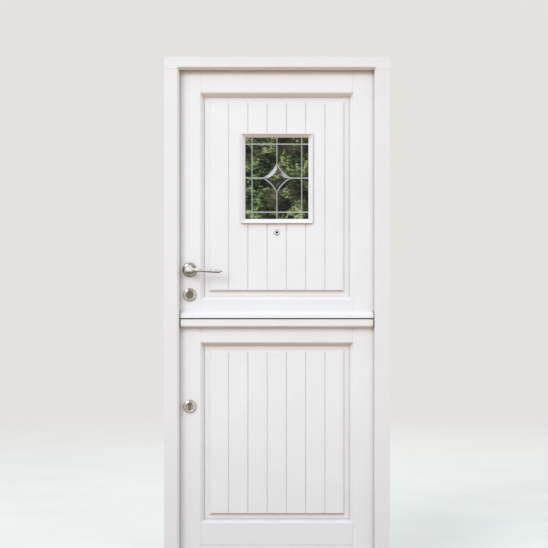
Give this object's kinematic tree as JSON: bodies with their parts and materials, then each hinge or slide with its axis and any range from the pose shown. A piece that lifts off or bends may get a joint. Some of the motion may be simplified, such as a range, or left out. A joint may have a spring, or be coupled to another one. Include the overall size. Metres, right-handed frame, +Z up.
{
  "type": "dutch stable door with frame",
  "caption": "Stable door whose upper and lower leaves open inwards one above the other, in a rebated frame with a sill, a leaded window, a lever handle and key locks",
  "frame": {"origin": "middle of the sill's underside, on the frame's outer face", "axes": "X to the right seen from outside, Y into the building, Z up"},
  "size_m": [0.9, 0.177, 2.087],
  "materials": {
    "frame_paint": "white satin paint",
    "leaf_paint": "white satin paint",
    "panel_paint": "white satin paint",
    "moulding_paint": "white satin paint",
    "seal_rubber": "black extruded rubber",
    "bar_aluminium": "mill finish",
    "hinge_steel": "satin stainless",
    "screw_steel": "satin stainless",
    "lock_steel": "satin",
    "handle_chrome": "polished chrome",
    "cylinder_nickel": "nickel plated, satin",
    "window_glass": "clear, with bevelled edges",
    "lead": "dull lead strip"
  },
  "bodies": {
    "frame": {"head": "frame_paint", "lock_jamb": "frame_paint", "hinge_jamb": "frame_paint", "sill": "frame_paint", "threshold_bar": "bar_aluminium", "threshold_seal": "seal_rubber", "frame_seal": "seal_rubber", "frame_hinge_flaps": "hinge_steel", "frame_hinge_screws": "screw_steel", "hinge_pins": "hinge_steel", "upper_keep": "lock_steel", "lower_keep": "lock_steel"},
    "upper_leaf": {"upper_lock_stile": "leaf_paint", "upper_hinge_stile": "leaf_paint", "upper_hinge_flaps": "hinge_steel", "upper_hinge_screws": "screw_steel", "upper_top_rail": "leaf_paint", "upper_meeting_rail": "leaf_paint", "upper_panel": "panel_paint", "meeting_seal": "seal_rubber", "drip_bar": "leaf_paint", "window_surround": "moulding_paint", "window_beads": "moulding_paint", "glass_panes": "window_glass", "glass_spacer": "bar_aluminium", "lead_strips": "lead", "bevelled_star": "window_glass", "viewer_barrel": "handle_chrome", "viewer_lens": "window_glass", "viewer_sleeve": "handle_chrome", "lever_roses": "handle_chrome", "upper_lock_case": "lock_steel", "upper_cylinder": "cylinder_nickel", "upper_escutcheons": "handle_chrome", "link_keeper": "handle_chrome"},
    "lever": {"lever_follower": "lock_steel", "lever_spindle": "lock_steel", "outer_lever": "handle_chrome", "inner_lever": "handle_chrome"},
    "latch": {"latch_bolt": "lock_steel"},
    "upper_turn": {"upper_key_plug": "cylinder_nickel", "upper_thumb_turn": "handle_chrome"},
    "upper_dead": {"upper_dead_bolt": "lock_steel"},
    "lower_leaf": {"lower_lock_stile": "leaf_paint", "lower_hinge_stile": "leaf_paint", "lower_hinge_flaps": "hinge_steel", "lower_hinge_screws": "screw_steel", "lower_top_rail": "leaf_paint", "lower_bottom_rail": "leaf_paint", "lower_foot_rail": "leaf_paint", "lower_panel": "panel_paint", "nosing": "leaf_paint", "lower_lock_case": "lock_steel", "lower_cylinder": "cylinder_nickel", "lower_escutcheons": "handle_chrome", "link_bolt_plate": "handle_chrome"},
    "lower_turn": {"lower_key_plug": "cylinder_nickel", "lower_thumb_turn": "handle_chrome"},
    "lower_dead": {"lower_dead_bolt": "lock_steel"},
    "link": {"link_bolt": "handle_chrome"}
  },
  "joints": [
    {"name": "upper_leaf_swing", "type": "hinge", "parent": "frame", "child": "upper_leaf", "pos_m": [0.4015, 0.1, 1.5463], "axis": [0, 0, -1], "range_deg": [0, 100]},
    {"name": "lower_leaf_swing", "type": "hinge", "parent": "frame", "child": "lower_leaf", "pos_m": [0.4015, 0.1, 0.5693], "axis": [0, 0, -1], "range_deg": [0, 100]},
    {"name": "lever_turn", "type": "hinge", "parent": "upper_leaf", "child": "lever", "pos_m": [-0.35, 0.068, 1.238], "axis": [0, 1, 0], "range_deg": [0, 40], "stiffness_Nm_per_rad": 2, "springref_deg": -14.32},
    {"name": "latch_slide", "type": "slide", "parent": "upper_leaf", "child": "latch", "axis": [1, 0, 0], "range_m": [0, 0.012]},
    {"name": "upper_key_turn", "type": "hinge", "parent": "upper_leaf", "child": "upper_turn", "pos_m": [-0.35, 0.068, 1.146], "axis": [0, 1, 0], "range_deg": [0, 360]},
    {"name": "upper_dead_bolt_throw", "type": "slide", "parent": "upper_leaf", "child": "upper_dead", "axis": [-1, 0, 0], "range_m": [0, 0.02]},
    {"name": "lower_key_turn", "type": "hinge", "parent": "lower_leaf", "child": "lower_turn", "pos_m": [-0.35, 0.068, 0.698], "axis": [0, 1, 0], "range_deg": [0, 360]},
    {"name": "lower_dead_bolt_throw", "type": "slide", "parent": "lower_leaf", "child": "lower_dead", "axis": [-1, 0, 0], "range_m": [0, 0.02]},
    {"name": "link_bolt_slide", "type": "slide", "parent": "lower_leaf", "child": "link", "axis": [0, 0, 1], "range_m": [0, 0.036]}
  ],
  "couplings": [
    {"joint": "latch_slide", "follows": "lever_turn", "m_per_rad": 0.01718},
    {"joint": "upper_key_turn", "follows": "upper_dead_bolt_throw", "rad_per_m": 314.15},
    {"joint": "lower_key_turn", "follows": "lower_dead_bolt_throw", "rad_per_m": 314.15}
  ]
}
